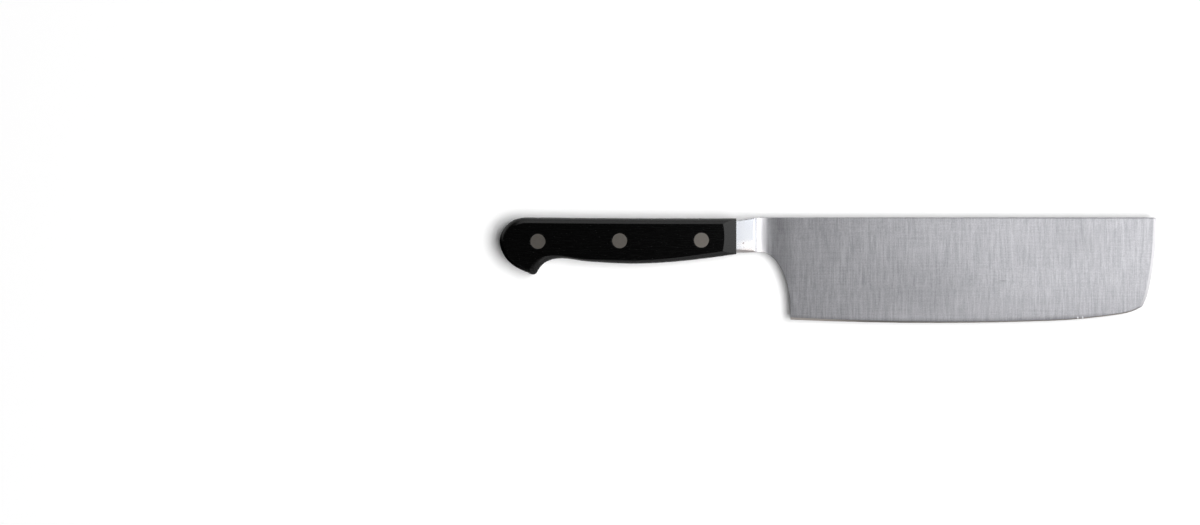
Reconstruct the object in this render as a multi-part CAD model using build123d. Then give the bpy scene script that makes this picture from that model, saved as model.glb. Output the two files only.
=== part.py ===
"""Nakiri kitchen knife: one forged blade with its tang, two handle scales, three two-part rivets.

Lengths are in millimetres and angles in degrees. While the pieces are made, X = 0 is the
joint of bolster and handle, with +X towards the tip. Y = 0 is the line of the spine, with
+Y out of the spine. Z = 0 is the middle of the blade's thickness. At the end the whole knife
is set down on the flat side of its lower scale, with the origin under the middle of its box.
"""

from build123d import *
import os
from math import cos, radians, sin

# Blade
blade_length = 165.0
heel_depth = 46.1
belly_drop = 1.45
nose_setback = 6.3
nose_curve_setback = 3.4
spine_thickness_heel = 2.4
spine_thickness_tip = 2.0
edge_thickness = 0.6
bevel_width = 0.95
edge_land = 0.06
nose_band = 1.2
nose_band_drop = 0.17
spine_corner_radius = 1.0
spine_ease = 0.25
heel_ease = 0.15

# Depth of the blade's front end, as shares of the heel's: at the nose, and where its curve starts
nose_depth_share = 0.873
nose_curve_depth_share = 0.710

# Cutting edge between heel and nose: along the blade's length, down the belly's drop
EDGE_LOW_SHARES = (0.360, 1.00)
EDGE_FLAT_END_SHARES = (0.710, 0.35)
# Where the front of the edge starts its quick rise: along the length, down from heel to nose
EDGE_RISE_SHARES = (0.906, 0.44)

# Neck: bolster, its concave sweep into the blade, and the curve down to the heel
neck_length = 24.6
neck_depth = 15.65
bolster_length = 8.3
bolster_thickness = 12.4
bolster_taper = 2.2
bolster_top_drop = 1.5
bolster_bottom_drop = 0.3
bolster_top_run = 10.6
sweep_length = 6.1
sweep_lip_radius = 0.8
heel_curve_start = 11.0
heel_straight = 3.3
relief_height = 1.85
relief_end_height = 0.9
relief_depth = 2.2
relief_length = 8.3

# Handle
handle_length = 106.7
handle_depth = 25.5
handle_thickness = 17.0
tang_thickness = 3.0
side_wall = 3.1
front_facet_length = 5.4
front_facet_drop = 1.75
front_facet_crown_radius = 90.0
front_facet_centre_depth = 8.8

# Rivets
rivet_depth = 10.25
rivet_depth_step = 0.28
head_diameter = 7.1
head_thickness = 1.8
barrel_diameter = 4.8
post_diameter = 3.2
head_clearance = 0.04
barrel_clearance = 0.05
post_clearance = 0.04
barrel_end_gap = 0.8
barrel_roof = 0.9
post_lead = 0.4

# Distance of the front rivet from the joint and from one rivet to the next, along the handle
rivet_setback_share = 0.1476
rivet_pitch_share = 0.3449

# Reach of cutting bodies past what they cut
overrun = 3.0

tip_x = neck_length + blade_length
nose_depth = heel_depth * nose_depth_share
nose_curve_depth = heel_depth * nose_curve_depth_share
side_z = handle_thickness / 2
tang_z = tang_thickness / 2
RIVET_NAMES = ("front", "middle", "butt")

# Handle outline, seen from the side: (along from the front end to the butt, down from the spine).
# The outer line is the silhouette. The inner line is where the flat side ends and the
# rounded edge begins, so their distance is the width of the rounding at each point.
TOP_OUTER_SHARES = ((-0.030, 0.0157), (0.440, 0.014), (0.881, -0.0016))
TOP_INNER_SHARES = ((-0.030, 0.117), (0.440, 0.114), (0.893, 0.099))
BUTT_OUTER_SHARES = (
    (0.918, 0.0155),
    (0.9541, 0.080),
    (0.9808, 0.195),
    (0.9995, 0.415),
    (0.990, 0.590),
    (0.9647, 0.761),
    (0.9193, 0.903),
    (0.8791, 0.974),
)
BUTT_INNER_SHARES = (
    (0.917, 0.119),
    (0.9451, 0.161),
    (0.9683, 0.237),
    (0.9855, 0.417),
    (0.978, 0.567),
    (0.9557, 0.721),
    (0.9153, 0.852),
    (0.877, 0.930),
)
HOOK_OUTER_SHARES = ((0.8482, 0.998), (0.8419, 0.974))
HOOK_INNER_SHARES = ((0.8735, 0.949), (0.8712, 0.929))
GRIP_OUTER_SHARES = (
    (0.8327, 0.903),
    (0.8072, 0.796),
    (0.7763, 0.741),
    (0.7171, 0.727),
    (0.6578, 0.762),
    (0.5732, 0.794),
    (0.4464, 0.816),
    (0.3194, 0.800),
    (0.1502, 0.734),
    (-0.030, 0.630),
)
GRIP_INNER_SHARES = (
    (0.8653, 0.867),
    (0.8326, 0.726),
    (0.785, 0.678),
    (0.7171, 0.696),
    (0.6578, 0.735),
    (0.5732, 0.752),
    (0.4464, 0.7635),
    (0.3194, 0.7396),
    (0.1502, 0.6557),
    (-0.030, 0.543),
)

# The rounded edge is a quarter ellipse that stops at this angle, short of the flat side. It is
# made of narrow ruled strips, which mesh with far fewer facets than one doubly curved surface.
rounding_end_angle = 60.0
rounding_strips = 8


def between(start, end, share):
    """The value that lies the given share of the way from start to end."""
    return start + (end - start) * share


def outline_points(outer_shares, inner_shares, inset):
    """Points of one stretch of the handle outline, moved in by a share of the rounding's width."""
    points = []
    for outer, inner in zip(outer_shares, inner_shares):
        along = between(outer[0], inner[0], inset)
        down = between(outer[1], inner[1], inset)
        points.append((-handle_length * along, -handle_depth * down))
    return points


def chord_shares(points):
    """How far along a curve each of its points lies, as shares of the chords' whole length."""
    reached = [0.0]
    for first, second in zip(points, points[1:]):
        reached.append(reached[-1] + (Vector(second) - Vector(first)).length)
    return [length / reached[-1] for length in reached]


def handle_outline(inset, height):
    """Face inside the handle outline at one height: inset 0 is the silhouette, 1 the flat side.

    Every outline spaces its spline points as the silhouette does, which keeps a loft through
    several of them simple.
    """
    outlines = []
    for share in (0, inset):
        top = outline_points(TOP_OUTER_SHARES, TOP_INNER_SHARES, share)
        butt = outline_points(BUTT_OUTER_SHARES, BUTT_INNER_SHARES, share)
        hook = outline_points(HOOK_OUTER_SHARES, HOOK_INNER_SHARES, share)
        grip = outline_points(GRIP_OUTER_SHARES, GRIP_INNER_SHARES, share)
        outlines.append((top, [top[-1], *butt], [butt[-1], *hook], [hook[-1], *grip]))
    silhouette, asked = outlines
    edges = [
        Edge.make_spline([Vector(point) for point in points], parameters=chord_shares(guide))
        for guide, points in zip(silhouette, asked)
    ]
    edges.append(Line(edges[-1] @ 1, edges[0] @ 0))
    return Pos(0, 0, height) * make_face(edges)


def behind_joint(shape):
    """The piece of a handle part that lies behind the joint with the bolster."""
    return split(shape, bisect_by=Plane.YZ, keep=Keep.BOTTOM)


def rivet_places():
    """Name and axis of each rivet, from the bolster to the butt, on a line that drops slightly."""
    places = []
    for number, name in enumerate(RIVET_NAMES):
        along = handle_length * (rivet_setback_share + number * rivet_pitch_share)
        down = rivet_depth + number * rivet_depth_step
        places.append((name, (-along, -down)))
    return places


def upright(radius, low, high):
    """Round bar about Z between two heights."""
    return Pos(0, 0, (low + high) / 2) * Cylinder(radius, high - low)


def front_facet_cut():
    """What the sloping, slightly crowned facet at the handle's front takes off the upper scale."""
    slope = Vector(front_facet_length, 0, -front_facet_drop).normalized()
    outward = Vector(front_facet_drop, 0, front_facet_length).normalized()
    middle = Vector(-front_facet_length, -front_facet_centre_depth, side_z)
    crown_plane = Plane(
        origin=middle - outward * front_facet_crown_radius,
        x_dir=outward,
        z_dir=slope,
    )
    crown = Cylinder(front_facet_crown_radius, 2 * handle_length)
    block = Pos(0, -front_facet_centre_depth, side_z) * Box(
        handle_length / 2, 2 * handle_depth, 2 * front_facet_drop + overrun
    )
    return block - crown_plane.location * crown


def scale_blank():
    """Upper scale before drilling: upright walls at the tang, rounded edges, flat side."""
    wall_top = tang_z + side_wall
    wall = extrude(handle_outline(0, tang_z), side_wall)
    last = radians(rounding_end_angle)
    sections = []
    for strip in range(rounding_strips + 1):
        turn = last * strip / rounding_strips
        inset = (1 - cos(turn)) / (1 - cos(last))
        rise = sin(turn) / sin(last)
        sections.append(handle_outline(inset, between(wall_top, side_z, rise)))
    crown = loft(sections, ruled=True)
    return behind_joint(wall + crown) - front_facet_cut()


def scale():
    """Upper handle scale with its rivet holes and the seats of the rivet heads."""
    blank = scale_blank()
    seat_floor = side_z - head_thickness
    for _, (x, y) in rivet_places():
        hole = upright(barrel_diameter / 2 + barrel_clearance, tang_z - overrun, side_z + overrun)
        seat = upright(head_diameter / 2 + head_clearance, seat_floor, side_z + overrun)
        blank -= Pos(x, y, 0) * (hole + seat)
    return blank


def blade_face_plane():
    """Plane of the blade's upper side: it falls from spine to edge and, a little, from heel to tip."""
    at_heel = Vector(neck_length, 0, spine_thickness_heel / 2)
    at_tip = Vector(tip_x, 0, spine_thickness_tip / 2)
    at_edge = Vector(neck_length, -heel_depth, edge_thickness / 2)
    along = (at_tip - at_heel).normalized()
    return Plane(
        origin=at_heel - along * neck_length,
        x_dir=along,
        z_dir=(at_heel - at_edge).cross(along) * -1,
    )


def cutting_edge():
    """The cutting edge from heel to nose: a long flat arc that rises faster towards the nose."""
    heel = (neck_length, -heel_depth)
    low = (
        neck_length + blade_length * EDGE_LOW_SHARES[0],
        -heel_depth - belly_drop * EDGE_LOW_SHARES[1],
    )
    flat_end = (
        neck_length + blade_length * EDGE_FLAT_END_SHARES[0],
        -heel_depth - belly_drop * EDGE_FLAT_END_SHARES[1],
    )
    rise_start = (
        neck_length + blade_length * EDGE_RISE_SHARES[0],
        between(-heel_depth, -nose_depth, EDGE_RISE_SHARES[1]),
    )
    nose = (tip_x - nose_setback, -nose_depth)
    flat = ThreePointArc(heel, low, flat_end)
    rise = TangentArc(flat_end, rise_start, tangent=flat % 1)
    sweep = TangentArc(rise_start, nose, tangent=rise % 1)
    return [flat, rise, sweep]


def nose_line():
    """The front end of the blade, from the spine's rounded corner down to the nose."""
    before_corner = (tip_x - spine_corner_radius, 0)
    below_corner = (tip_x, -spine_corner_radius)
    turn = (tip_x - nose_curve_setback, -nose_curve_depth)
    nose = (tip_x - nose_setback, -nose_depth)
    corner = TangentArc(before_corner, below_corner, tangent=(1, 0))
    front = TangentArc(below_corner, turn, tangent=(0, -1))
    return [corner, front, TangentArc(turn, nose, tangent=front % 1)]


def forging_outline():
    """Outline of bolster and blade seen from the side, as a face at the mid-plane."""
    top_rear = (0, -bolster_top_drop)
    top_front = (bolster_top_run, 0)
    curve_width = neck_length - heel_curve_start
    curve_height = heel_depth - heel_straight - neck_depth
    heel_curve_centre = (heel_curve_start, -neck_depth - curve_height)
    heel_curve_end = (neck_length, -neck_depth - curve_height)
    front = nose_line()
    edges = [
        Line(top_rear, top_front),
        Line(top_front, front[0] @ 0),
        *front,
        *cutting_edge(),
        Line((neck_length, -heel_depth), heel_curve_end),
        EllipticalCenterArc(heel_curve_centre, curve_width, curve_height, arc_size=90),
        Line((heel_curve_start, -neck_depth), (0, -neck_depth - bolster_bottom_drop)),
        Line((0, -neck_depth - bolster_bottom_drop), top_rear),
    ]
    return make_face(edges)


def forging_stock():
    """Everything below the upper side of bolster and blade, before its outline is cut."""
    face = blade_face_plane()
    section = Plane(origin=face.origin, x_dir=face.x_dir, z_dir=face.y_dir * -1)
    rear_rise = (bolster_thickness - spine_thickness_heel) / 2
    front_rise = rear_rise - bolster_taper / 2
    slope = (rear_rise - front_rise) / bolster_length
    sweep_end = (bolster_length + sweep_length, 0)
    sweep_start = (bolster_length, front_rise)
    rear = (-overrun, rear_rise + slope * overrun)
    far = tip_x + overrun
    deep = -bolster_thickness
    edges = [
        Line(rear, sweep_start),
        TangentArc(sweep_end, sweep_start, tangent=(-1, 0)),
        Line(sweep_end, (far, 0)),
        Line((far, 0), (far, deep)),
        Line((far, deep), (-overrun, deep)),
        Line((-overrun, deep), rear),
    ]
    profile = make_face(edges)
    lip = profile.vertices().sort_by_distance(sweep_start)[0]
    return extrude(section * fillet(lip, sweep_lip_radius), 2 * heel_depth, both=True)


def bolster_relief_cut():
    """Slanting cut along the bolster's lower edge, which narrows and runs out in the sweep."""
    low_rear = -neck_depth - bolster_bottom_drop
    side = bolster_thickness / 2
    first = Vector(0, low_rear + relief_height, side)
    second = Vector(relief_length, relief_end_height - neck_depth, side - bolster_taper / 2)
    third = Vector(0, low_rear, side - relief_depth)
    plane = Plane(origin=first, x_dir=second - first, z_dir=(third - first).cross(second - first))
    block = Pos(relief_length / 2, low_rear, side) * Box(
        relief_length + 2 * overrun, 2 * overrun, 2 * overrun
    )
    return split(block, bisect_by=plane, keep=Keep.TOP)


def edge_bevel_keep():
    """What a stone that grinds the cutting edge at one steady angle leaves."""
    curve = cutting_edge()
    heel = curve[0] @ 0
    nose = curve[-1] @ 1
    lead = nose + (curve[-1] % 1) * nose_setback * 2
    behind = (-overrun, heel.Y)
    edges = [
        Line(behind, heel),
        *curve,
        Line(nose, lead),
        Line(lead, (lead.X, overrun)),
        Line((lead.X, overrun), (-overrun, overrun)),
        Line((-overrun, overrun), behind),
    ]
    face = make_face(edges)
    grind = Vector(0, bevel_width, (edge_thickness - edge_land) / 2)
    reach = grind.length * bolster_thickness / grind.Z
    land = extrude(face, edge_land / 2)
    return land + extrude(Pos(0, 0, edge_land / 2) * face, reach, dir=grind)


def nose_band_cut():
    """Shallow slanting cut that leaves a narrow polished band along the blade's front end."""
    curve = nose_line()
    nose = curve[-1] @ 1
    lead = nose + (curve[-1] % 1) * heel_depth
    back = tip_x - heel_depth
    edges = [
        *curve,
        Line(nose, lead),
        Line(lead, (back, lead.Y)),
        Line((back, lead.Y), (back, overrun)),
        Line((back, overrun), (tip_x - spine_corner_radius, overrun)),
        Line((tip_x - spine_corner_radius, overrun), curve[0] @ 0),
    ]
    lean = Vector(-nose_band, 0, nose_band_drop) * (overrun / nose_band_drop)
    kept = extrude(Pos(lean * -1) * make_face(edges), 2 * lean.length, dir=lean)
    block = Pos(tip_x - nose_setback / 2, -heel_depth / 2, 0) * Box(
        nose_setback + 2 * overrun, heel_depth + overrun, 2 * overrun
    )
    return blade_face_plane().location * Pos(0, 0, -nose_band_drop) * (block - kept)


def eased_spine_stock():
    """Stock with its spine cut and eased while it still runs past the tip.

    The front end is cut after this, so its band meets a plain bevel and not a chamfered corner.
    """
    far = tip_x + overrun
    deep = -2 * heel_depth
    spine_side = Polyline(
        (0, -bolster_top_drop),
        (bolster_top_run, 0),
        (far, 0),
        (far, deep),
        (0, deep),
        close=True,
    )
    stock = forging_stock() & extrude(make_face(spine_side), bolster_thickness)
    rim = stock.edges().filter_by(Axis.Z, reverse=True)
    rim = rim.filter_by(lambda edge: (edge @ 0.5).Z > edge_thickness / 2)
    return chamfer(rim.filter_by(lambda edge: (edge @ 0.5).Y > -bolster_top_drop), spine_ease)


def ease_heel(half):
    """Ease the edge between the blade's upper side and the wall of its heel."""
    rim = half.edges().filter_by(Axis.Z, reverse=True)
    rim = rim.filter_by(lambda edge: (edge @ 0.5).Z > edge_thickness / 2)
    rim = rim.filter_by(lambda edge: heel_curve_start < (edge @ 0.5).X < neck_length)
    return chamfer(rim.filter_by(lambda edge: (edge @ 0.5).Y < -neck_depth), heel_ease)


def half_forging():
    """Upper half of bolster and blade, from the mid-plane to the side."""
    half = ease_heel(eased_spine_stock() & extrude(forging_outline(), bolster_thickness))
    return ((half - bolster_relief_cut()) & edge_bevel_keep()) - nose_band_cut()


def blade_and_tang():
    """The forging: blade, bolster and the full tang with its rivet holes."""
    half = half_forging()
    front = half + mirror(half, about=Plane.XY)
    tang = extrude(behind_joint(handle_outline(0, 0)), tang_z, both=True)
    forging = front + tang
    for _, (x, y) in rivet_places():
        hole = upright(barrel_diameter / 2 + barrel_clearance, -tang_z - overrun, tang_z + overrun)
        forging -= Pos(x, y, 0) * hole
    return forging


def rivet_socket():
    """Rivet half with a flush head at the upper side and a hollow barrel down from it."""
    shoulder = side_z - head_thickness
    barrel_end = barrel_end_gap - shoulder
    head = upright(head_diameter / 2, shoulder, side_z)
    barrel = upright(barrel_diameter / 2, barrel_end, shoulder)
    bore = upright(post_diameter / 2 + post_clearance, barrel_end - overrun, shoulder - barrel_roof)
    return head + barrel - bore


def rivet_post():
    """Rivet half with a flush head at the lower side and a solid post up into the barrel."""
    shoulder = head_thickness - side_z
    post_top = -shoulder - barrel_roof - barrel_end_gap
    head = upright(head_diameter / 2, -side_z, shoulder)
    post = upright(post_diameter / 2, shoulder, post_top)
    post = chamfer(post.edges().group_by(Axis.Z)[-1], post_lead)
    return head + post


def all_pieces():
    """Every piece by name, in the coordinates that the pieces are made in."""
    upper = scale()
    pieces = {
        "blade_and_tang": blade_and_tang(),
        "scale_upper": upper,
        "scale_lower": mirror(upper, about=Plane.XY),
    }
    for name, (x, y) in rivet_places():
        pieces[f"rivet_{name}_socket"] = Pos(x, y, 0) * rivet_socket()
        pieces[f"rivet_{name}_post"] = Pos(x, y, 0) * rivet_post()
    return pieces


def set_down(pieces):
    """Move the knife onto its resting plane, with the origin under the middle of its box."""
    box = Compound(list(pieces.values())).bounding_box()
    middle = box.center()
    seat = Pos(-middle.X, -middle.Y, -box.min.Z)
    return {name: seat * piece for name, piece in pieces.items()}


def main():
    """Write one STEP file for each piece."""
    os.makedirs("parts", exist_ok=True)
    for name, piece in set_down(all_pieces()).items():
        export_step(piece, f"parts/{name}.step")


if __name__ == "__main__":
    main()
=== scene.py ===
"""Studio picture of a nakiri kitchen knife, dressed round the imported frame.

The knife lies on a white table and the camera looks straight down on it. +X runs to the tip of
the blade, +Y from the cutting edge to the spine, and +Z is up out of the side that the camera
sees. Blender works in metres, so every size in millimetres is turned by MM.
"""

import logging
from dataclasses import dataclass
from enum import Enum
from math import pi
from typing import Any

import bpy
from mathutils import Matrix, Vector

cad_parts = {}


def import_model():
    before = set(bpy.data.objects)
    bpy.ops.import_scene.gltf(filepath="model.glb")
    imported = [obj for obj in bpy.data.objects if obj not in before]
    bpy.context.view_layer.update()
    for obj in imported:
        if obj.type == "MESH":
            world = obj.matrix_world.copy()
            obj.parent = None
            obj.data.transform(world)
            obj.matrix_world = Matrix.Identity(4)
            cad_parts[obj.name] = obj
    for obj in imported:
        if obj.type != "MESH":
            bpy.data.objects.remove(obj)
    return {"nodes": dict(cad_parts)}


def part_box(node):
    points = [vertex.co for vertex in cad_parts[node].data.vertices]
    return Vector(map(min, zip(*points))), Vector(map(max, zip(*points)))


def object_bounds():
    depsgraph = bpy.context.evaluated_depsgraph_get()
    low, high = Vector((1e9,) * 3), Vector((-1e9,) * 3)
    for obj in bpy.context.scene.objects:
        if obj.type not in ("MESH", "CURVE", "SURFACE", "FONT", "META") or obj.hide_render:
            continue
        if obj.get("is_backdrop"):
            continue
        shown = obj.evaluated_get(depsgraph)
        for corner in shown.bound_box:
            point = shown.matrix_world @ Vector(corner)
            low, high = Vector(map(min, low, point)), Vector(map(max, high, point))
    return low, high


log = logging.getLogger("nakiri")

MM = 0.001

# Numbers of the sockets of Blender's Mix node, which has one set of them for each kind of data
MIX_SHARE = 0
MIX_NUMBERS = (2, 3)
MIX_COLOURS = (6, 7)
MIXED_NUMBER = 0
MIXED_COLOUR = 2

# Nearly all of a noise's values lie between these two, so a gloss runs from one to the other
NOISE_LOW = 0.3
NOISE_HIGH = 0.7

Span = tuple[float, float]
Triple = tuple[float, float, float]
Tree = bpy.types.NodeTree
Node = bpy.types.Node
Socket = bpy.types.NodeSocket
Material = bpy.types.Material
Piece = bpy.types.Object


class BrushLine(Enum):
    """Which way the lines of a brushed or sanded finish run."""

    SPINE_TO_EDGE = "across the blade"
    BUTT_TO_TIP = "along the knife"


class Reach(Enum):
    """Which surfaces a studio panel shows on."""

    SHINY = "shiny surfaces"
    MATT = "matt surfaces"


class PanelShape(Enum):
    """Outline of a studio panel, by Blender's name for it."""

    OBLONG = "RECTANGLE"
    ROUND = "ELLIPSE"


def linear(code: str) -> tuple[float, float, float, float]:
    """Turn an sRGB colour into the linear one that Blender mixes.

    Args:
        code: Six hex digits.

    Returns:
        Red, green, blue and a full alpha.
    """
    channels = [int(code[i : i + 2], 16) / 255 for i in (0, 2, 4)]
    red, green, blue = (
        c / 12.92 if c <= 0.04045 else ((c + 0.055) / 1.055) ** 2.4 for c in channels
    )
    return red, green, blue, 1.0


def add_node(
    tree: Tree, kind: str, settings: dict[str, Any], links: dict[str | int, Any]
) -> Node:
    """Add a node with its settings, socket values and links.

    Args:
        tree: The node tree that gets the node.
        kind: Blender's name of the node type.
        settings: Properties of the node itself.
        links: For each input, by name or number, the socket that feeds it or its plain value.

    Returns:
        The new node.
    """
    node = tree.nodes.new(kind)
    for name, value in settings.items():
        setattr(node, name, value)
    for name, value in links.items():
        if isinstance(value, bpy.types.NodeSocket):
            tree.links.new(value, node.inputs[name])
        else:
            node.inputs[name].default_value = value
    return node


def new_material(name: str) -> tuple[Material, Tree]:
    """Make an empty material with a node tree.

    Args:
        name: What the material is called.

    Returns:
        The material and its cleared tree.
    """
    material = bpy.data.materials.new(name)
    material.use_nodes = True
    material.node_tree.nodes.clear()
    return material, material.node_tree


@dataclass(frozen=True)
class Lines:
    """Fine lines that brushing, sanding or wiping leaves on a surface.

    The pitch is the distance from one line to the next, and the detail is how many finer layers
    of lines lie in them.
    """

    pitch_mm: float
    length_mm: float
    run: BrushLine
    detail: float
    raggedness: float = 0.6

    def noise(self, tree: Tree) -> Socket:
        """Draw the lines, as noise that is stretched the way they run.

        Args:
            tree: The material's node tree.

        Returns:
            The noise, 0.5 on average.
        """
        across, along = 1 / (self.pitch_mm * MM), 1 / (self.length_mm * MM)
        if self.run is BrushLine.SPINE_TO_EDGE:
            scale = (across, along, across)
        else:
            scale = (along, across, across)
        place = add_node(tree, "ShaderNodeTexCoord", {}, {})
        drawn_out = add_node(
            tree,
            "ShaderNodeVectorMath",
            {"operation": "MULTIPLY"},
            {0: place.outputs["Object"], 1: scale},
        )
        noise = add_node(
            tree,
            "ShaderNodeTexNoise",
            {"noise_dimensions": "3D"},
            {
                "Vector": drawn_out.outputs["Vector"],
                "Scale": 1.0,
                "Detail": self.detail,
                "Roughness": self.raggedness,
            },
        )
        return noise.outputs["Fac"]


@dataclass(frozen=True)
class Blobs:
    """Even blobs on a surface, from fine grain to wide clouds.

    The detail is how many finer layers of blobs lie in them.
    """

    size_mm: float
    detail: float
    raggedness: float = 0.55

    def noise(self, tree: Tree) -> Socket:
        """Draw the blobs as noise.

        Args:
            tree: The material's node tree.

        Returns:
            The noise, 0.5 on average.
        """
        place = add_node(tree, "ShaderNodeTexCoord", {}, {})
        noise = add_node(
            tree,
            "ShaderNodeTexNoise",
            {"noise_dimensions": "3D"},
            {
                "Vector": place.outputs["Object"],
                "Scale": 1 / (self.size_mm * MM),
                "Detail": self.detail,
                "Roughness": self.raggedness,
            },
        )
        return noise.outputs["Fac"]


@dataclass(frozen=True)
class Mark:
    """A spot or band in another tone: stains, scratches, painted shade and highlights.

    Its place and reach run along X, Y and Z. The rim gives the shares of that reach at which it
    sets in and is full.
    """

    place_mm: Triple
    reach_mm: Triple
    strength: float
    # Dull grey, used by the scratch and by most of the painted shade
    tone: str = "5C5C60"
    rim: Span = (1.0, 0.3)

    def mask(self, tree: Tree, origin: Vector) -> Socket:
        """Draw the spot with a soft rim.

        Args:
            tree: The material's node tree.
            origin: The point that the mark's place is measured from.

        Returns:
            The mark's strength in the middle of the spot and 0 outside it.
        """
        middle = origin + Vector(self.place_mm) * MM
        place = add_node(tree, "ShaderNodeTexCoord", {}, {})
        away = add_node(
            tree,
            "ShaderNodeVectorMath",
            {"operation": "SUBTRACT"},
            {0: place.outputs["Object"], 1: middle},
        )
        shares = add_node(
            tree,
            "ShaderNodeVectorMath",
            {"operation": "DIVIDE"},
            {0: away.outputs["Vector"], 1: Vector(self.reach_mm) * MM},
        )
        distance = add_node(
            tree, "ShaderNodeVectorMath", {"operation": "LENGTH"}, {0: shares.outputs["Vector"]}
        )
        spot = add_node(
            tree,
            "ShaderNodeMapRange",
            {},
            {
                "Value": distance.outputs["Value"],
                "From Min": self.rim[0],
                "From Max": self.rim[1],
                "To Min": 0.0,
                "To Max": self.strength,
            },
        )
        return spot.outputs["Result"]


@dataclass(frozen=True)
class ForgedStainlessSteel:
    """Stainless knife steel: brushed blade, buffed bolster, stone-ground edge.

    The blade's fine upright brush lines smear reflections along the knife, so it goes from mid
    grey at the bolster to pale grey at the tip. The bolster and the sweep are buffed and mirror
    the light panels, with faint clouds where the buffing is uneven. The ground edge is darker
    and a little brown. Above it lies a band of painted shade, standing in for a wider bevel
    that faces away from the light.
    """

    brushed: str = "C8C8CC"
    brush_shadow: str = "A4A4A9"
    buffed: str = "E7E9ED"
    buffed_shadow: str = "DADDE4"
    bevel: str = "BDB5B0"
    nose: str = "D2D1D4"
    # Colour of the painted shade above the ground edge
    edge_shade: str = "5C5C60"
    brushed_roughness: float = 0.36
    brushed_roughness_spread: float = 0.04
    buffed_roughness: float = 0.19
    buffed_roughness_spread: float = 0.03
    anisotropy: float = 0.75
    # Real brush lines are some hundredths of a millimetre apart: drawn coarser, so that they show
    lines: Lines = Lines(pitch_mm=0.5, length_mm=8.0, run=BrushLine.SPINE_TO_EDGE, detail=3.0)
    line_depth_mm: float = 0.002
    streaks: Lines = Lines(pitch_mm=1.3, length_mm=16.0, run=BrushLine.SPINE_TO_EDGE, detail=2.0)
    # Later wiping left fainter scratches across the brushing, and both break up into a fine grain
    scratches: Lines = Lines(pitch_mm=0.7, length_mm=18.0, run=BrushLine.BUTT_TO_TIP, detail=2.0)
    grains: Blobs = Blobs(size_mm=0.55, detail=2.0)
    clouds: Blobs = Blobs(size_mm=9.0, detail=3.0)
    # What lines, streaks, scratches and grains each add to the uneven grey of a brushed face
    mottle_shares: tuple[float, float, float, float] = (0.36, 0.24, 0.13, 0.27)
    # The values of the unevenness at which the tone is in full shadow and at its palest
    brushing_contrast: Span = (0.4, 0.6)
    buffing_contrast: Span = (0.35, 0.65)
    # Where the ground edge sets in and is full, by the Y part of the normal, and the nose band,
    # by the X part
    bevel_turn: Span = (-0.12, -0.2)
    nose_turn: Span = (0.08, 0.14)
    # The painted shade above the edge follows the edge's arc: that arc's middle, and how far from
    # it the shade sets in and is full
    edge_shade_middle_mm: Triple = (88.0, 1341.3, 0.0)
    edge_shade_reach_mm: Span = (1386.5, 1388.4)
    edge_shade_share: float = 0.5

    def material(self, sweep: Span, origin: Vector, marks: tuple[Mark, ...]) -> Material:
        """Make the material.

        Args:
            sweep: X at which the buffed bolster starts to give way to the brushed blade, and X
                from which on only the brushed blade shows.
            origin: The point that the painted edge shade and the marks are measured from.
            marks: Spots and bands of wear, buffing and stain, and of painted highlight and shade.

        Returns:
            The material.
        """
        material, tree = new_material("forged_stainless_steel_brushed")
        place = add_node(tree, "ShaderNodeTexCoord", {}, {})
        where = add_node(tree, "ShaderNodeSeparateXYZ", {}, {0: place.outputs["Object"]})
        on_blade = add_node(
            tree,
            "ShaderNodeMapRange",
            {"interpolation_type": "SMOOTHSTEP"},
            {"Value": where.outputs["X"], "From Min": sweep[0], "From Max": sweep[1]},
        ).outputs["Result"]
        lines = self.lines.noise(tree)
        clouds = self.clouds.noise(tree)
        mottle = self.mottle(tree, lines)

        tone = self.plain_tone(tree, on_blade, mottle, clouds)
        # Painted shade above the ground edge, where a wider bevel would face away from the light
        layers = [(self.painted_edge_shade(tree, origin), self.edge_shade)]
        layers += self.ground_faces(tree, on_blade)
        layers += [(mark.mask(tree, origin), mark.tone) for mark in marks]
        for share, colour in layers:
            tone = add_node(
                tree,
                "ShaderNodeMix",
                {"data_type": "RGBA"},
                {MIX_SHARE: share, MIX_COLOURS[0]: tone, MIX_COLOURS[1]: linear(colour)},
            ).outputs[MIXED_COLOUR]

        # The upright lines smear reflections along the knife
        along_knife = add_node(
            tree, "ShaderNodeTangent", {"direction_type": "RADIAL", "axis": "Y"}, {}
        )
        surface = add_node(
            tree,
            "ShaderNodeBsdfPrincipled",
            {},
            {
                "Base Color": tone,
                "Metallic": 1.0,
                "Roughness": self.gloss(tree, on_blade, mottle, clouds),
                "Anisotropic": self.anisotropy,
                "Tangent": along_knife.outputs["Tangent"],
                "Normal": self.relief(tree, on_blade, lines),
            },
        )
        add_node(tree, "ShaderNodeOutputMaterial", {}, {"Surface": surface.outputs["BSDF"]})
        return material

    def mottle(self, tree: Tree, lines: Socket) -> Socket:
        """Add up what makes the grey of a brushed face uneven.

        Args:
            tree: The material's node tree.
            lines: The noise of the brush lines.

        Returns:
            The unevenness, 0.5 on average.
        """
        streaks = self.streaks.noise(tree)
        scratches = self.scratches.noise(tree)
        grains = self.grains.noise(tree)
        mottle: Socket | float = 0.0
        for noise, share in zip((lines, streaks, scratches, grains), self.mottle_shares):
            mottle = add_node(
                tree,
                "ShaderNodeMath",
                {"operation": "MULTIPLY_ADD"},
                {0: noise, 1: share, 2: mottle},
            ).outputs["Value"]
        return mottle

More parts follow.
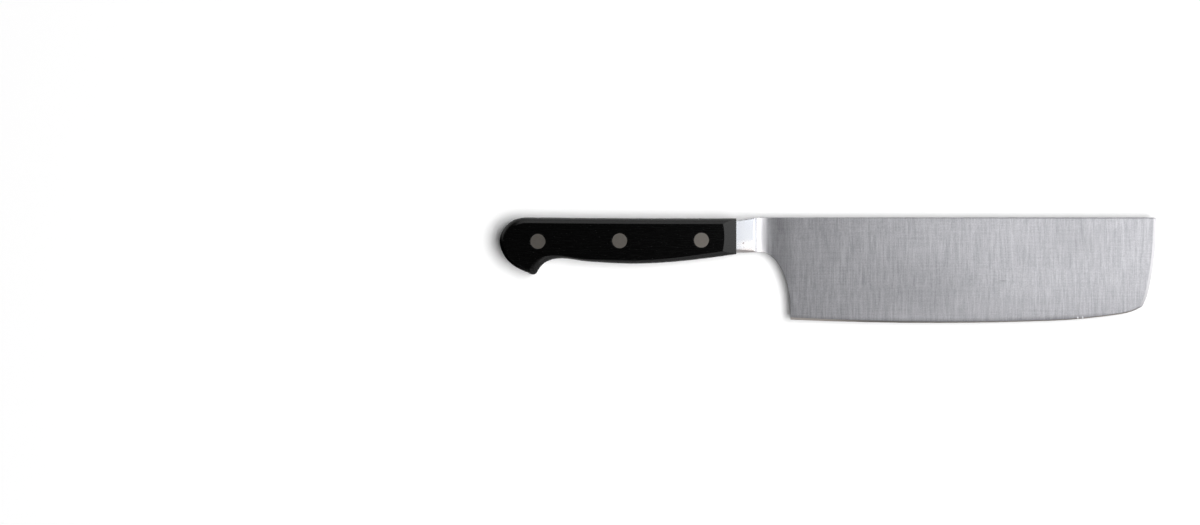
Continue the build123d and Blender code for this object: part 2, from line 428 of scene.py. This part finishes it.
    def plain_tone(self, tree: Tree, on_blade: Socket, mottle: Socket, clouds: Socket) -> Socket:
        """Colour the brushed blade and the buffed bolster.

        Args:
            tree: The material's node tree.
            on_blade: 0 on the bolster and 1 on the blade.
            mottle: Unevenness of the brushing.
            clouds: Unevenness of the buffing.

        Returns:
            The steel's colour, without haze, ground faces and marks.
        """
        brushing = add_node(
            tree,
            "ShaderNodeMapRange",
            {},
            {
                "Value": mottle,
                "From Min": self.brushing_contrast[0],
                "From Max": self.brushing_contrast[1],
            },
        )
        brushed = add_node(
            tree,
            "ShaderNodeMix",
            {"data_type": "RGBA"},
            {
                MIX_SHARE: brushing.outputs["Result"],
                MIX_COLOURS[0]: linear(self.brush_shadow),
                MIX_COLOURS[1]: linear(self.brushed),
            },
        )
        buffing = add_node(
            tree,
            "ShaderNodeMapRange",
            {},
            {
                "Value": clouds,
                "From Min": self.buffing_contrast[0],
                "From Max": self.buffing_contrast[1],
            },
        )
        buffed = add_node(
            tree,
            "ShaderNodeMix",
            {"data_type": "RGBA"},
            {
                MIX_SHARE: buffing.outputs["Result"],
                MIX_COLOURS[0]: linear(self.buffed_shadow),
                MIX_COLOURS[1]: linear(self.buffed),
            },
        )
        tone = add_node(
            tree,
            "ShaderNodeMix",
            {"data_type": "RGBA"},
            {
                MIX_SHARE: on_blade,
                MIX_COLOURS[0]: buffed.outputs[MIXED_COLOUR],
                MIX_COLOURS[1]: brushed.outputs[MIXED_COLOUR],
            },
        )
        return tone.outputs[MIXED_COLOUR]

    def painted_edge_shade(self, tree: Tree, origin: Vector) -> Socket:
        """Find the band of painted shade above the ground edge.

        Args:
            tree: The material's node tree.
            origin: The point that the middle of the edge's arc is measured from.

        Returns:
            How strongly the painted shade shows.
        """
        middle = origin + Vector(self.edge_shade_middle_mm) * MM
        place = add_node(tree, "ShaderNodeTexCoord", {}, {})
        from_middle = add_node(
            tree,
            "ShaderNodeVectorMath",
            {"operation": "DISTANCE"},
            {0: place.outputs["Object"], 1: middle},
        )
        edge_shade = add_node(
            tree,
            "ShaderNodeMapRange",
            {},
            {
                "Value": from_middle.outputs["Value"],
                "From Min": self.edge_shade_reach_mm[0] * MM,
                "From Max": self.edge_shade_reach_mm[1] * MM,
                "To Min": 0.0,
                "To Max": self.edge_shade_share,
            },
        )
        return edge_shade.outputs["Result"]

    def ground_faces(self, tree: Tree, on_blade: Socket) -> list[tuple[Socket, str]]:
        """Find the ground edge and the nose band by the way they face.

        Args:
            tree: The material's node tree.
            on_blade: 0 on the bolster and 1 on the blade.

        Returns:
            For both, where it shows and its colour.
        """
        facing = add_node(tree, "ShaderNodeNewGeometry", {}, {})
        turned = add_node(tree, "ShaderNodeSeparateXYZ", {}, {0: facing.outputs["True Normal"]})
        faces: list[tuple[Socket, str]] = []
        for axis, turn, colour in (
            ("Y", self.bevel_turn, self.bevel),
            ("X", self.nose_turn, self.nose),
        ):
            face = add_node(
                tree,
                "ShaderNodeMapRange",
                {},
                {"Value": turned.outputs[axis], "From Min": turn[0], "From Max": turn[1]},
            )
            ground = add_node(
                tree,
                "ShaderNodeMath",
                {"operation": "MULTIPLY"},
                {0: face.outputs["Result"], 1: on_blade},
            )
            faces.append((ground.outputs["Value"], colour))
        return faces

    def gloss(self, tree: Tree, on_blade: Socket, mottle: Socket, clouds: Socket) -> Socket:
        """Make the brushed blade rougher than the buffed bolster, and both a little uneven.

        Args:
            tree: The material's node tree.
            on_blade: 0 on the bolster and 1 on the blade.
            mottle: Unevenness of the brushing.
            clouds: Unevenness of the buffing.

        Returns:
            The roughness.
        """
        brushed = add_node(
            tree,
            "ShaderNodeMapRange",
            {},
            {
                "Value": mottle,
                "From Min": NOISE_LOW,
                "From Max": NOISE_HIGH,
                "To Min": self.brushed_roughness - self.brushed_roughness_spread,
                "To Max": self.brushed_roughness + self.brushed_roughness_spread,
            },
        )
        buffed = add_node(
            tree,
            "ShaderNodeMapRange",
            {},
            {
                "Value": clouds,
                "From Min": NOISE_LOW,
                "From Max": NOISE_HIGH,
                "To Min": self.buffed_roughness - self.buffed_roughness_spread,
                "To Max": self.buffed_roughness + self.buffed_roughness_spread,
            },
        )
        roughness = add_node(
            tree,
            "ShaderNodeMix",
            {"data_type": "FLOAT"},
            {
                MIX_SHARE: on_blade,
                MIX_NUMBERS[0]: buffed.outputs["Result"],
                MIX_NUMBERS[1]: brushed.outputs["Result"],
            },
        )
        return roughness.outputs[MIXED_NUMBER]

    def relief(self, tree: Tree, on_blade: Socket, lines: Socket) -> Socket:
        """Cut the brush lines into the blade, and not into the buffed bolster.

        Args:
            tree: The material's node tree.
            on_blade: 0 on the bolster and 1 on the blade.
            lines: The noise of the brush lines.

        Returns:
            The normal.
        """
        depth = add_node(
            tree,
            "ShaderNodeMath",
            {"operation": "MULTIPLY"},
            {0: on_blade, 1: self.line_depth_mm * MM},
        )
        height = add_node(
            tree,
            "ShaderNodeMath",
            {"operation": "MULTIPLY"},
            {0: lines, 1: depth.outputs["Value"]},
        )
        bump = add_node(
            tree,
            "ShaderNodeBump",
            {},
            {"Strength": 1.0, "Distance": 1.0, "Height": height.outputs["Value"]},
        )
        return bump.outputs["Normal"]


@dataclass(frozen=True)
class BlackPolyoxymethylene:
    """Moulded and sanded black POM, the usual polymer of riveted scales.

    It is nearly black face on, with a soft grey sheen where the rounded edges and the front
    facet turn towards a light panel, and a fine dust of sanding marks.
    """

    body: str = "010101"
    worn: str = "050505"
    index: float = 1.48
    roughness: float = 0.25
    roughness_below: float = 0.03
    roughness_above: float = 0.05
    # Real sanding marks are finer than a pixel of the picture: drawn coarser, so that they show
    sanding: Lines = Lines(pitch_mm=0.5, length_mm=6.0, run=BrushLine.BUTT_TO_TIP, detail=3.0)
    sanding_depth_mm: float = 0.003
    specks: Blobs = Blobs(size_mm=0.9, detail=4.0)
    # The values of the specks' noise at which wear sets in and is full
    wear_contrast: Span = (0.5, 0.78)
    # Sanding takes the sharpness off the corners
    edge_radius_mm: float = 0.2
    edge_samples: int = 6

    def material(self) -> Material:
        """Make the material.

        Returns:
            The material.
        """
        material, tree = new_material("black_polyoxymethylene_sanded")
        sanding = self.sanding.noise(tree)
        wear = add_node(
            tree,
            "ShaderNodeMapRange",
            {},
            {
                "Value": self.specks.noise(tree),
                "From Min": self.wear_contrast[0],
                "From Max": self.wear_contrast[1],
            },
        )
        tone = add_node(
            tree,
            "ShaderNodeMix",
            {"data_type": "RGBA"},
            {
                MIX_SHARE: wear.outputs["Result"],
                MIX_COLOURS[0]: linear(self.body),
                MIX_COLOURS[1]: linear(self.worn),
            },
        )
        gloss = add_node(
            tree,
            "ShaderNodeMapRange",
            {},
            {
                "Value": sanding,
                "From Min": NOISE_LOW,
                "From Max": NOISE_HIGH,
                "To Min": self.roughness - self.roughness_below,
                "To Max": self.roughness + self.roughness_above,
            },
        )
        height = add_node(
            tree,
            "ShaderNodeMath",
            {"operation": "MULTIPLY"},
            {0: sanding, 1: self.sanding_depth_mm * MM},
        )
        rounded = add_node(
            tree,
            "ShaderNodeBevel",
            {"samples": self.edge_samples},
            {"Radius": self.edge_radius_mm * MM},
        )
        bump = add_node(
            tree,
            "ShaderNodeBump",
            {},
            {
                "Strength": 1.0,
                "Distance": 1.0,
                "Height": height.outputs["Value"],
                "Normal": rounded.outputs["Normal"],
            },
        )
        surface = add_node(
            tree,
            "ShaderNodeBsdfPrincipled",
            {},
            {
                "Base Color": tone.outputs[MIXED_COLOUR],
                "Roughness": gloss.outputs["Result"],
                "IOR": self.index,
                "Normal": bump.outputs["Normal"],
            },
        )
        add_node(tree, "ShaderNodeOutputMaterial", {}, {"Surface": surface.outputs["BSDF"]})
        return material


@dataclass(frozen=True)
class NickelSilver:
    """Nickel silver of the rivets, ground flush with the scale and satin finished.

    The fine matt surface has a warm grey cast and hardly mirrors anything. Polishing dirt sits in
    a thin dark line where each head meets its scale.
    """

    body: str = "D3CCC3"
    pale: str = "D9D2C9"
    dirt: str = "1A1918"
    roughness: float = 0.37
    roughness_spread: float = 0.01
    # A real satin grain is finer than a pixel of the picture: drawn coarser, so that it shows
    grain: Blobs = Blobs(size_mm=0.35, detail=3.0)
    # The values of the grain at which the metal is darkest and palest
    grain_contrast: Span = (0.35, 0.65)
    # Where the dirt sets in and is full, in shares of the head's width from its middle
    dirty_rim: Span = (0.46, 0.485)

    def material(self) -> Material:
        """Make the material.

        Returns:
            The material.
        """
        material, tree = new_material("nickel_silver_satin")
        grain = self.grain.noise(tree)
        paleness = add_node(
            tree,
            "ShaderNodeMapRange",
            {},
            {
                "Value": grain,
                "From Min": self.grain_contrast[0],
                "From Max": self.grain_contrast[1],
            },
        )
        clean = add_node(
            tree,
            "ShaderNodeMix",
            {"data_type": "RGBA"},
            {
                MIX_SHARE: paleness.outputs["Result"],
                MIX_COLOURS[0]: linear(self.body),
                MIX_COLOURS[1]: linear(self.pale),
            },
        )
        tone = add_node(
            tree,
            "ShaderNodeMix",
            {"data_type": "RGBA"},
            {
                MIX_SHARE: self.dirt_line(tree),
                MIX_COLOURS[0]: clean.outputs[MIXED_COLOUR],
                MIX_COLOURS[1]: linear(self.dirt),
            },
        )
        gloss = add_node(
            tree,
            "ShaderNodeMapRange",
            {},
            {
                "Value": grain,
                "From Min": NOISE_LOW,
                "From Max": NOISE_HIGH,
                "To Min": self.roughness - self.roughness_spread,
                "To Max": self.roughness + self.roughness_spread,
            },
        )
        surface = add_node(
            tree,
            "ShaderNodeBsdfPrincipled",
            {},
            {
                "Base Color": tone.outputs[MIXED_COLOUR],
                "Metallic": 1.0,
                "Roughness": gloss.outputs["Result"],
            },
        )
        add_node(tree, "ShaderNodeOutputMaterial", {}, {"Surface": surface.outputs["BSDF"]})
        return material

    def dirt_line(self, tree: Tree) -> Socket:
        """Find the line of dirt round a head.

        Args:
            tree: The material's node tree.

        Returns:
            0 on the head and 1 in the dirt.
        """
        # Generated places run from 0 to 1 across the rivet's box, so the middle of the head is at
        # 0.5 both ways, and the height doesn't count
        place = add_node(tree, "ShaderNodeTexCoord", {}, {})
        from_middle = add_node(
            tree,
            "ShaderNodeVectorMath",
            {"operation": "MULTIPLY_ADD"},
            {0: place.outputs["Generated"], 1: (1.0, 1.0, 0.0), 2: (-0.5, -0.5, 0.0)},
        )
        distance = add_node(
            tree,
            "ShaderNodeVectorMath",
            {"operation": "LENGTH"},
            {0: from_middle.outputs["Vector"]},
        )
        line = add_node(
            tree,
            "ShaderNodeMapRange",
            {},
            {
                "Value": distance.outputs["Value"],
                "From Min": self.dirty_rim[0],
                "From Max": self.dirty_rim[1],
            },
        )
        return line.outputs["Result"]


@dataclass(frozen=True)
class WhiteAcrylic:
    """Opal white acrylic of a shooting table, lit from below, which keeps it pure white.

    The lamps below it stand round the knife's place, so it glows a little there and more further
    out. Shiny surfaces show it greyer than it looks itself, as if grey cards lay round the knife:
    one behind the spine, and one in front of the edge that turns black past the butt.
    """

    body: str = "F4F4F4"
    roughness: float = 0.8
    glow: float = 0.12
    glow_far_out: float = 0.9
    # How far from the middle the stronger glow sets in and is full, in metres
    glow_reach: Span = (0.5, 4.0)
    card_in_front: float = 0.3
    card_far_in_front: float = 0.44
    card_behind: float = 0.45
    # Where each card sets in and is full, along Y or X from the middle of the knife
    front_reach_mm: Span = (-20.0, -50.0)
    behind_reach_mm: Span = (18.0, 30.0)
    butt_reach_mm: Span = (-150.0, -128.0)

    def material(self) -> Material:
        """Make the material.

        Returns:
            The material.
        """
        material, tree = new_material("opal_acrylic_table")
        place = add_node(tree, "ShaderNodeTexCoord", {}, {}).outputs["Object"]
        white = add_node(
            tree,
            "ShaderNodeBsdfPrincipled",
            {},
            {
                "Base Color": linear(self.body),
                "Roughness": self.roughness,
                "Emission Color": linear(self.body),
                "Emission Strength": self.glow_from_below(tree, place),
            },
        )
        mirrored = add_node(tree, "ShaderNodeEmission", {}, {"Strength": self.cards(tree, place)})
        ray = add_node(tree, "ShaderNodeLightPath", {}, {})
        surface = add_node(
            tree,
            "ShaderNodeMixShader",
            {},
            {
                0: ray.outputs["Is Glossy Ray"],
                1: white.outputs["BSDF"],
                2: mirrored.outputs["Emission"],
            },
        )
        add_node(tree, "ShaderNodeOutputMaterial", {}, {"Surface": surface.outputs["Shader"]})
        return material

    def glow_from_below(self, tree: Tree, place: Socket) -> Socket:
        """Light the table from below, more further out.

        Args:
            tree: The material's node tree.
            place: The place on the table.

        Returns:
            How brightly the table glows.
        """
        distance = add_node(tree, "ShaderNodeVectorMath", {"operation": "LENGTH"}, {0: place})
        glow = add_node(
            tree,
            "ShaderNodeMapRange",
            {},
            {
                "Value": distance.outputs["Value"],
                "From Min": self.glow_reach[0],
                "From Max": self.glow_reach[1],
                "To Min": self.glow,
                "To Max": self.glow_far_out,
            },
        )
        return glow.outputs["Result"]

    def cards(self, tree: Tree, place: Socket) -> Socket:
        """Lay the grey cards that shiny surfaces show.

        Args:
            tree: The material's node tree.
            place: The place on the table.

        Returns:
            How bright the cards are.
        """
        where = add_node(tree, "ShaderNodeSeparateXYZ", {}, {0: place})
        in_front = add_node(
            tree,
            "ShaderNodeMapRange",
            {},
            {
                "Value": where.outputs["Y"],
                "From Min": self.front_reach_mm[0] * MM,
                "From Max": self.front_reach_mm[1] * MM,
                "To Min": self.card_in_front,
                "To Max": self.card_far_in_front,
            },
        )
        behind = add_node(
            tree,
            "ShaderNodeMapRange",
            {},
            {
                "Value": where.outputs["Y"],
                "From Min": self.behind_reach_mm[0] * MM,
                "From Max": self.behind_reach_mm[1] * MM,
                "To Min": 0.0,
                "To Max": self.card_behind,
            },
        )
        before_butt = add_node(
            tree,
            "ShaderNodeMapRange",
            {},
            {
                "Value": where.outputs["X"],
                "From Min": self.butt_reach_mm[0] * MM,
                "From Max": self.butt_reach_mm[1] * MM,
            },
        )
        cards = add_node(
            tree,
            "ShaderNodeMath",
            {"operation": "MULTIPLY_ADD"},
            {
                0: in_front.outputs["Result"],
                1: before_butt.outputs["Result"],
                2: behind.outputs["Result"],
            },
        )
        return cards.outputs["Value"]


def coat(piece: Piece, material: Material) -> None:
    """Give a node of the frame one material all over.

    Args:
        piece: The node's object.
        material: Its finish.
    """
    for slot in piece.material_slots:
        slot.material = material
    log.info("%s: %s", piece.name, material.name)


@dataclass
class Forging:
    """The one piece of steel: blade, bolster and tang."""

    piece: Piece
    joint: Vector
    bolster_length: float = 8.3 * MM
    buffing_past_bolster: float = 1.6 * MM
    brushing_past_bolster: float = 3.2 * MM
    marks: tuple[Mark, ...] = (
        # Bolster: a well buffed patch, a warm stain on the lower rim and a rusty speck
        Mark((6.0, -12.4, 5.0), (7.5, 2.8, 6.0), 0.7, "FFFCFA"),
        Mark((5.0, -15.3, 5.0), (12.0, 2.0, 6.0), 0.6, "E9DCD4"),
        Mark((3.2, -11.6, 5.6), (0.55, 0.45, 2.0), 0.7, "7A5850"),
        # Sweep: a painted highlight on the lip, painted shade in the hollow and a paler painted
        # reflection at the foot, standing in for the light on its curve
        Mark((9.0, -8.0, 4.0), (1.3, 14.0, 12.0), 0.8, "FAFAFC"),
        Mark((12.6, -8.0, 2.0), (2.4, 14.0, 12.0), 0.36),
        Mark((15.0, -8.0, 2.0), (2.2, 14.0, 12.0), 0.5, "E8E8EC"),
        # Blade: painted shade next to the sweep, and two darker areas
        Mark((19.6, -15.0, 1.0), (7.0, 90.0, 20.0), 0.3),
        Mark((84.0, -31.0, 1.0), (40.0, 17.0, 20.0), 0.15),
        Mark((153.0, -10.0, 1.0), (22.0, 16.0, 20.0), 0.12),
        # Blade: a painted line of shade along the eased spine, one scratch, and two nicks in the
        # edge that are painted bright as glints
        Mark((165.0, -0.3, 1.0), (140.0, 0.6, 20.0), 0.38),
        Mark((120.6, -28.6, 1.0), (2.4, 0.22, 1.5), 0.8),
        Mark((154.3, -45.4, 0.0), (0.5, 0.9, 2.0), 1.0, "FAFAFC"),
        Mark((156.5, -45.3, 0.0), (0.5, 0.9, 2.0), 1.0, "FAFAFC"),
    )

    def dress(self, finish: ForgedStainlessSteel) -> None:
        """Put the steel finish on the forging.

        Args:
            finish: The steel.
        """
        bolster_end = self.joint.x + self.bolster_length
        sweep = (bolster_end + self.buffing_past_bolster, bolster_end + self.brushing_past_bolster)
        coat(self.piece, finish.material(sweep, self.joint, self.marks))


@dataclass
class Handle:
    """The two scales that are riveted to the tang."""

    scales: list[Piece]

    def dress(self, finish: BlackPolyoxymethylene) -> None:
        """Put the polymer finish on both scales.

        Args:
            finish: The polymer.
        """
        material = finish.material()
        for scale in self.scales:
            coat(scale, material)


@dataclass
class Rivets:
    """The halves of the rivets through the handle."""

    halves: list[Piece]

    def dress(self, finish: NickelSilver) -> None:
        """Put the rivet metal on every half.

        Args:
            finish: The metal.
        """
        material = finish.material()
        for half in self.halves:
            coat(half, material)


@dataclass
class LightPanel:
    """One soft panel of the studio, in metres, whose width runs along X."""

    name: str
    place: Triple
    target: Triple
    width: float
    length: float
    brightness: float
    reach: Reach = Reach.SHINY
    shape: PanelShape = PanelShape.OBLONG

    def build(self) -> None:
        """Hang the panel."""
        light = bpy.data.lights.new(self.name, "AREA")
        light.shape = self.shape.value
        light.size = self.width
        light.size_y = self.length
        # Blender wants the power of the whole panel, and this keeps it as bright at any size
        area = self.width * self.length * (pi / 4 if self.shape is PanelShape.ROUND else 1)
        light.energy = self.brightness * pi * area
        panel = bpy.data.objects.new(self.name, light)
        bpy.context.scene.collection.objects.link(panel)
        panel.location = self.place
        toward = Vector(self.target) - Vector(self.place)
        panel.rotation_euler = toward.to_track_quat("-Z", "Y").to_euler()
        panel.visible_camera = False
        panel.visible_glossy = self.reach is Reach.SHINY
        panel.visible_diffuse = self.reach is Reach.MATT
        log.info("%s: %.2f by %.2f m, %s", self.name, self.width, self.length, self.reach.value)


@dataclass
class Studio:
    """White shooting table, soft panels, dim room and the camera overhead."""

    picture_width_px: int = 1200
    picture_height_px: int = 525
    scale_mm_per_px: float = 0.4514
    # Column of the joint of handle and bolster in the picture, and row of the spine
    joint_px: float = 736.0
    spine_px: float = 217.5
    lens_mm: float = 180.0
    sensor_mm: float = 36.0
    table_size: float = 12.0
    # Keeps the table and the lower scale from lying in one plane
    table_gap: float = 0.02 * MM
    room_light: str = "FFFFFF"
    room_glow: float = 0.008
    backdrop: str = "F0F1F3"
    panels: tuple[LightPanel, ...] = (
        # Whitens the table and gives the knife its soft shadow
        LightPanel(
            name="table_key",
            place=(1.2, -0.23, 4.0),
            target=(1.2, -0.23, 0.0),
            width=2.4,
            length=2.68,
            brightness=13.9,
            reach=Reach.MATT,
            shape=PanelShape.ROUND,
        ),
        # What the knife mirrors
        LightPanel(
            name="over_blade",
            place=(0.435, 0.2075, 0.31),
            target=(0.435, 0.2075, 0.0),
            width=0.8,
            length=0.585,
            brightness=1.6,
        ),
        LightPanel(
            name="beyond_tip",
            place=(1.0, 0.05, 0.36),
            target=(0.0, 0.05, 0.36),
            width=0.5,
            length=0.72,
            brightness=2.0,
        ),
        LightPanel(
            name="before_tip",
            place=(0.85, -0.8, 0.4),
            target=(0.0, 0.0, 0.0),
            width=0.8,
            length=0.75,
            brightness=0.5,
        ),
        LightPanel(
            name="behind_spine",
            place=(0.35, 1.1, 0.45),
            target=(0.35, 0.0, 0.0),
            width=1.6,
            length=0.8,
            brightness=0.9,
        ),
        LightPanel(
            name="before_edge",
            place=(0.1, -1.1, 0.3),
            target=(0.0, 0.0, 0.0),
            width=1.2,
            length=0.5,
            brightness=0.8,
        ),
        LightPanel(
            name="over_edge",
            place=(-0.25, -0.42, 0.62),
            target=(0.0, 0.0, 0.0),
            width=0.5,
            length=0.3,
            brightness=1.6,
        ),
    )

    def table(self, finish: WhiteAcrylic) -> None:
        """Lay the table under the knife.

        Args:
            finish: The table's surface.
        """
        half = self.table_size / 2
        mesh = bpy.data.meshes.new("shooting_table")
        corners = [(-half, -half, 0), (half, -half, 0), (half, half, 0), (-half, half, 0)]
        mesh.from_pydata(corners, [], [(0, 1, 2, 3)])
        mesh.materials.append(finish.material())
        table = bpy.data.objects.new("shooting_table", mesh)
        table.location.z = -self.table_gap
        bpy.context.scene.collection.objects.link(table)
        table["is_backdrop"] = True
        log.info("shooting_table: %.0f m wide", self.table_size)

    def room(self) -> None:
        """Make the room: dim for reflections, pale where the camera sees it."""
        world = bpy.data.worlds.new("dim_room")
        bpy.context.scene.world = world
        world.use_nodes = True
        tree = world.node_tree
        tree.nodes.clear()
        ray = add_node(tree, "ShaderNodeLightPath", {}, {})
        dim = add_node(
            tree,
            "ShaderNodeBackground",
            {},
            {"Color": linear(self.room_light), "Strength": self.room_glow},
        )
        pale = add_node(
            tree,
            "ShaderNodeBackground",
            {},
            {"Color": linear(self.backdrop), "Strength": 1.0},
        )
        seen = add_node(
            tree,
            "ShaderNodeMixShader",
            {},
            {
                0: ray.outputs["Is Camera Ray"],
                1: dim.outputs["Background"],
                2: pale.outputs["Background"],
            },
        )
        add_node(tree, "ShaderNodeOutputWorld", {}, {"Surface": seen.outputs["Shader"]})
        log.info("dim_room: glow of %.3f", self.room_glow)

    def lights(self) -> None:
        """Hang every panel."""
        for panel in self.panels:
            panel.build()

    def camera(self, joint: Vector) -> None:
        """Hang the camera over the table.

        Args:
            joint: The line of the spine at the joint of handle and bolster, where the picture's
                scale holds.
        """
        scale = self.scale_mm_per_px * MM
        x = joint.x + (self.picture_width_px / 2 - self.joint_px) * scale
        y = joint.y + (self.spine_px - self.picture_height_px / 2) * scale
        distance = self.picture_width_px * scale * self.lens_mm / self.sensor_mm
        data = bpy.data.cameras.new("overhead_camera")
        data.lens = self.lens_mm
        data.sensor_width = self.sensor_mm
        camera = bpy.data.objects.new("overhead_camera", data)
        camera.location = (x, y, joint.z + distance)
        bpy.context.scene.collection.objects.link(camera)
        bpy.context.scene.camera = camera
        # The plain curve, which keeps the table pure white
        bpy.context.scene.view_settings.view_transform = "Standard"
        log.info("overhead_camera: %.2f m over the knife", distance)


def find_joint(nodes: dict[str, Piece], cad_box: tuple[Vector, Vector]) -> Vector:
    """Find the joint of handle and bolster, on the line of the spine.

    Args:
        nodes: The pieces of the frame, by name.
        cad_box: Lowest and highest corner of the frame.

    Returns:
        The point, halfway up the knife's thickness.
    """
    joint_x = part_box("scale_upper")[1].x
    corners = (vertex.co for vertex in nodes["blade_and_tang"].data.vertices)
    spine_y = max(corner.y for corner in corners if corner.x > joint_x)
    return Vector((joint_x, spine_y, (cad_box[0].z + cad_box[1].z) / 2))


def main() -> None:
    """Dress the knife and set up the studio."""
    logging.basicConfig(level=logging.INFO, format="%(name)s: %(message)s")
    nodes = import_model()["nodes"]
    cad_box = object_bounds()
    joint = find_joint(nodes, cad_box)
    rivet_halves = [piece for name, piece in nodes.items() if name.startswith("rivet")]

    Forging(nodes["blade_and_tang"], joint).dress(ForgedStainlessSteel())
    Handle([nodes["scale_upper"], nodes["scale_lower"]]).dress(BlackPolyoxymethylene())
    Rivets(rivet_halves).dress(NickelSilver())

    studio = Studio()
    studio.table(WhiteAcrylic())
    studio.room()
    studio.lights()
    studio.camera(joint)


if __name__ == "__main__":
    main()
